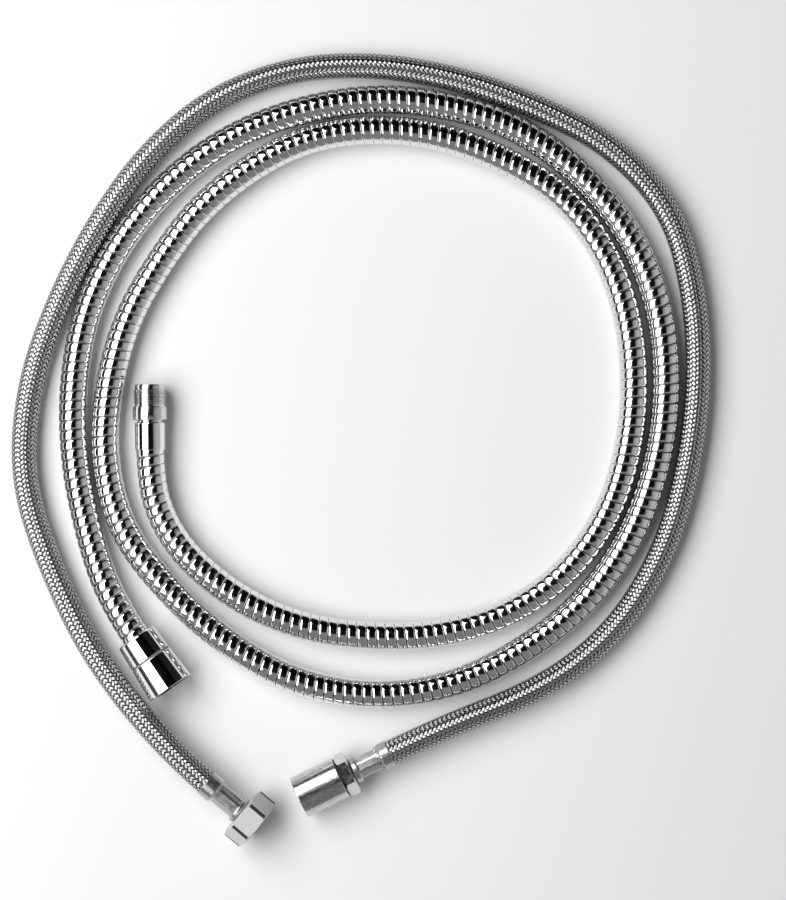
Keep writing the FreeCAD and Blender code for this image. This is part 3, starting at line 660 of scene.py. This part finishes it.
# %% Nickel on turned brass
def nickel_brass(name, fitting):
    finish = Finish(name, (0.68, 0.68, 0.67), 1.0, fitting)
    finish.rough(400.0, 0.10, 0.20)
    lines = finish.place(tool_lines, Along=3500.0, Across=40.0)
    grain = finish.place(fine_grain, Scale=1800.0)
    finish.tone(lines["Shade"], (0.58, 0.58, 0.57), (0.72, 0.72, 0.71))
    finish.bump([(lines["Height"], 0.000006), (grain["Height"], 0.000008)])
    return finish.material


# %% Satin nickel, for the hex nut, with painted shade on its corners
HEX_WAIST = 0.01334         # beyond this distance from its axis, only the nut's corners are left


def satin_nickel_and_corner_shade(name, fitting):
    finish = Finish(name, (0.62, 0.62, 0.61), 0.35, fitting)
    across = finish.tree.nodes.new("ShaderNodeVectorMath")
    across.operation = "MULTIPLY"
    across.inputs[1].default_value = (0.0, 1.0, 1.0)
    link(finish.tree, finish.vector, across.inputs[0])
    reach = finish.tree.nodes.new("ShaderNodeVectorMath")
    reach.operation = "LENGTH"
    link(finish.tree, across.outputs["Vector"], reach.inputs[0])
    corner_shade = math_node(finish.tree, "GREATER_THAN", reach.outputs["Value"], HEX_WAIST)
    # Painted shade: past the waist, the nut's corners are coloured nearly black.
    finish.tone(corner_shade, (0.62, 0.62, 0.61), (0.02, 0.02, 0.02))
    finish.rough(600.0, 0.42, 0.55)
    grain = finish.place(fine_grain, Scale=1600.0)
    finish.bump([(grain["Height"], 0.0003)])
    return finish.material


# %% Brushed nickel, for the connector's body
def brushed_nickel(name, fitting):
    finish = Finish(name, (0.60, 0.60, 0.59), 1.0, fitting)
    finish.rough(500.0, 0.13, 0.24)
    lines = finish.place(tool_lines, Along=300.0, Across=1600.0)
    grain = finish.place(fine_grain, Scale=1900.0)
    finish.tone(lines["Shade"], (0.44, 0.44, 0.44), (0.72, 0.72, 0.71))
    finish.bump([(lines["Height"], 0.00003), (grain["Height"], 0.00005)])
    return finish.material


# %% Drawn stainless steel, for the ferrules
def drawn_steel(name, fitting):
    finish = Finish(name, (0.50, 0.50, 0.50), 1.0, fitting)
    finish.rough(300.0, 0.24, 0.36)
    lines = finish.place(tool_lines, Along=120.0, Across=2500.0)
    finish.tone(lines["Shade"], (0.38, 0.38, 0.38), (0.64, 0.64, 0.64))
    finish.bump([(lines["Height"], 0.00005)])
    return finish.material


# %% Brass, plastic and rubber
def bare_brass(name, fitting):
    finish = Finish(name, (0.69, 0.53, 0.25), 1.0, fitting)
    finish.rough(300.0, 0.2, 0.35)
    return finish.material


def grey_plastic():
    finish = Finish("grey_plastic", (0.20, 0.20, 0.21), 0.0)
    finish.rough(400.0, 0.35, 0.5)
    return finish.material


# %% [markdown]
# ### The threaded tail
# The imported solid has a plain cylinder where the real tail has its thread, so this piece is turned anew:
# its outline is carried round the axis, and along the thread the radius follows a right-handed helix.

# %% The threaded tail
THREAD_PITCH = 0.001337     # 19 turns to the inch
THREAD_MINOR, THREAD_MAJOR = 0.007475, 0.00833
THREAD_START, THREAD_STOP = 0.0224, 0.0297
ROWS_PER_TURN = 8
SHARP_ANGLE = 28.0          # degrees between two faces, past which the edge stays sharp
TAIL_SIDES = 72
BEFORE_THREAD = [           # (along the axis, radius), from the nipple's tip inside the hose
    (-0.0030, 0.00248), (-0.0030, 0.00348), (-0.00264, 0.00348), (0.0006, 0.00383), (0.0006, 0.00348),
    (0.00096, 0.00348), (0.0042, 0.00383), (0.0042, 0.00348), (0.00875, 0.00348), (0.00875, 0.0063),
    (0.0147, 0.0063), (0.0147, 0.0079), (0.01485, 0.00825), (0.0152, 0.0084), (0.0212, 0.0084),
    (0.0214, 0.0083), (0.0215, 0.0081), (0.0215, THREAD_MINOR), (THREAD_START, THREAD_MINOR),
]
AFTER_THREAD = [            # the lead and the waterway
    (THREAD_STOP, 0.0073), (0.0316, 0.0073), (0.0321, 0.0071), (0.0324, 0.0065), (0.0324, 0.0045),
    (0.0138, 0.0045), (0.0138, 0.00248), (-0.0030, 0.00248),
]


def thread_radius(along, turn):
    """Between the thread's root and its crest, both a little flat."""
    phase = (along / THREAD_PITCH - turn) % 1.0
    rise = min(max(1.7 * (1 - abs(2 * phase - 1)) - 0.35, 0.0), 1.0)
    return THREAD_MINOR + (THREAD_MAJOR - THREAD_MINOR) * rise


def threaded_tail():
    rows = round((THREAD_STOP - THREAD_START) / THREAD_PITCH * ROWS_PER_TURN)
    vertices = []
    for k in range(TAIL_SIDES):
        turn = k / TAIL_SIDES
        thread = [(x, thread_radius(x, turn))
                  for x in (THREAD_START + (THREAD_STOP - THREAD_START) * i / rows for i in range(rows + 1))]
        a = 2 * math.pi * turn
        vertices += [thread_end.matrix() @ Vector((x, r * math.cos(a), r * math.sin(a)))
                     for x, r in BEFORE_THREAD + thread + AFTER_THREAD]
    ring = len(vertices) // TAIL_SIDES
    faces = []
    for k in range(TAIL_SIDES):
        here, there = k * ring, (k + 1) % TAIL_SIDES * ring
        faces += [(here + i, there + i, there + i + 1, here + i + 1) for i in range(ring - 1)]
    mesh = bpy.data.meshes.new("threaded_tail")
    mesh.from_pydata(vertices, [], faces)
    mesh.shade_smooth()
    mesh.set_sharp_from_angle(angle=math.radians(SHARP_ANGLE))
    mesh.materials.append(nickel_brass("thread_end_nickel", thread_end))
    tail = bpy.data.objects.new("threaded_tail", mesh)
    bpy.context.scene.collection.objects.link(tail)
    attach(tail, "spiral_hose")
    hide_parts("thread_tail")


threaded_tail()


# %% Dressing the solids
def dress(finish, *names):
    for name in names:
        nodes[name].material_slots[0].material = finish


black_rubber = rubber("black_rubber", (0.03, 0.03, 0.03))
dress(polished_chrome("thread_end_chrome", thread_end), "thread_end_sleeve")
dress(polished_chrome("cone_chrome", cone_end), "cone_sleeve", "cone_nut")
dress(nickel_brass("cone_end_nickel", cone_end), "cone_tail")
dress(satin_nickel_and_corner_shade("hex_nut_nickel", hex_end), "hex_nut")
dress(nickel_brass("hex_end_nickel", hex_end), "hex_end_tail")
dress(nickel_brass("connector_end_nickel", connector_end), "connector_tail")
dress(brushed_nickel("connector_nickel", connector_end), "connector_body")
dress(drawn_steel("hex_end_steel", hex_end), "hex_end_ferrule")
dress(drawn_steel("connector_steel", connector_end), "connector_ferrule")
dress(bare_brass("thread_end_brass", thread_end), "thread_end_crimp_ring")
dress(bare_brass("cone_end_brass", cone_end), "cone_crimp_ring")
dress(grey_plastic(), "cone_slip_ring")
dress(black_rubber, "cone_nut_washer", "hex_nut_washer", "connector_gasket", "connector_seal")

# %% [markdown]
# ## The table and the light
# Chrome and steel show the room, so the room is laid out first: a long soft lamp to the left, a dark
# place overhead where the camera stands, a dark wall behind, grey walls elsewhere and a bright horizon.
# The table is plain white and takes the soft shadows.

# %% The table
TABLE_HALF = 2.5


def table_top():
    mesh = bpy.data.meshes.new("table_top")
    corners = [(x * TABLE_HALF, y * TABLE_HALF, 0) for x, y in ((-1, -1), (1, -1), (1, 1), (-1, 1))]
    mesh.from_pydata(corners, [], [(0, 1, 2, 3)])
    table = bpy.data.objects.new("table_top", mesh)
    bpy.context.scene.collection.objects.link(table)
    finish = Finish("table_white", (0.90, 0.90, 0.895), 0.0, Roughness=0.8, Specular_IOR_Level=0.2)
    mesh.materials.append(finish.material)


table_top()

# %% The lamp
LAMP_PLACE = Vector((-0.80, 0.15, 1.10))
LAMP_SIZE = (2.0, 0.98)     # along the room and across it
LAMP_POWER = 27.5

lamp = bpy.data.objects.new("lamp", bpy.data.lights.new("lamp", "AREA"))
lamp.data.shape = "RECTANGLE"
lamp.data.size, lamp.data.size_y = LAMP_SIZE
lamp.data.energy = LAMP_POWER
lamp.location = LAMP_PLACE
lamp.rotation_euler = (-LAMP_PLACE).to_track_quat("-Z", "Y").to_euler()
bpy.context.scene.collection.objects.link(lamp)

# %% The room
def room():
    world = bpy.data.worlds.new("room")
    world.use_nodes = True
    bpy.context.scene.world = world
    tree = world.node_tree
    background = tree.nodes["Background"]
    place = tree.nodes.new("ShaderNodeTexCoord")
    split = tree.nodes.new("ShaderNodeSeparateXYZ")
    link(tree, place.outputs["Generated"], split.inputs["Vector"])

    def ramp(value, start, end, low, high):
        node = tree.nodes.new("ShaderNodeMapRange")
        node.interpolation_type = "SMOOTHSTEP"
        for socket, number in (("From Min", start), ("From Max", end), ("To Min", low), ("To Max", high)):
            node.inputs[socket].default_value = number
        link(tree, value, node.inputs["Value"])
        return node.outputs["Result"]

    east, north, height = split.outputs["X"], split.outputs["Y"], split.outputs["Z"]
    walls = ramp(east, 0.45, 0.95, 0.22, 0.50)
    camera_left = ramp(east, -0.28, -0.18, 1.0, 0.02)
    camera_right = ramp(east, 0.40, 0.55, 0.0, 1.0)
    camera_near = ramp(north, -0.30, -0.15, 1.0, 0.0)
    above = ramp(height, 0.30, 0.50, 1.0, 0.0)
    overhead = math_node(tree, "MAXIMUM", math_node(tree, "MAXIMUM", camera_left, camera_right),
                         math_node(tree, "MAXIMUM", camera_near, above))
    behind = ramp(north, 0.30, 0.62, 1.0, 0.05)
    left = ramp(east, -0.90, -0.80, 0.06, 1.0)
    shade = math_node(tree, "MULTIPLY", math_node(tree, "MULTIPLY", overhead, behind), left)
    horizon = ramp(height, 0.03, 0.14, 1.0, 0.0)
    light = math_node(tree, "MAXIMUM", math_node(tree, "MULTIPLY", walls, shade), horizon)
    sight = tree.nodes.new("ShaderNodeLightPath")
    seen = math_node(tree, "MAXIMUM", light, sight.outputs["Is Camera Ray"])
    link(tree, seen, background.inputs["Strength"])
    background.inputs["Color"].default_value = (1.0, 1.0, 1.0, 1.0)


room()

# %% [markdown]
# ## Last steps
# The routes were only guides, so they go.

# %% The end
bpy.data.objects.remove(spiral_route)
bpy.data.objects.remove(braid_route)
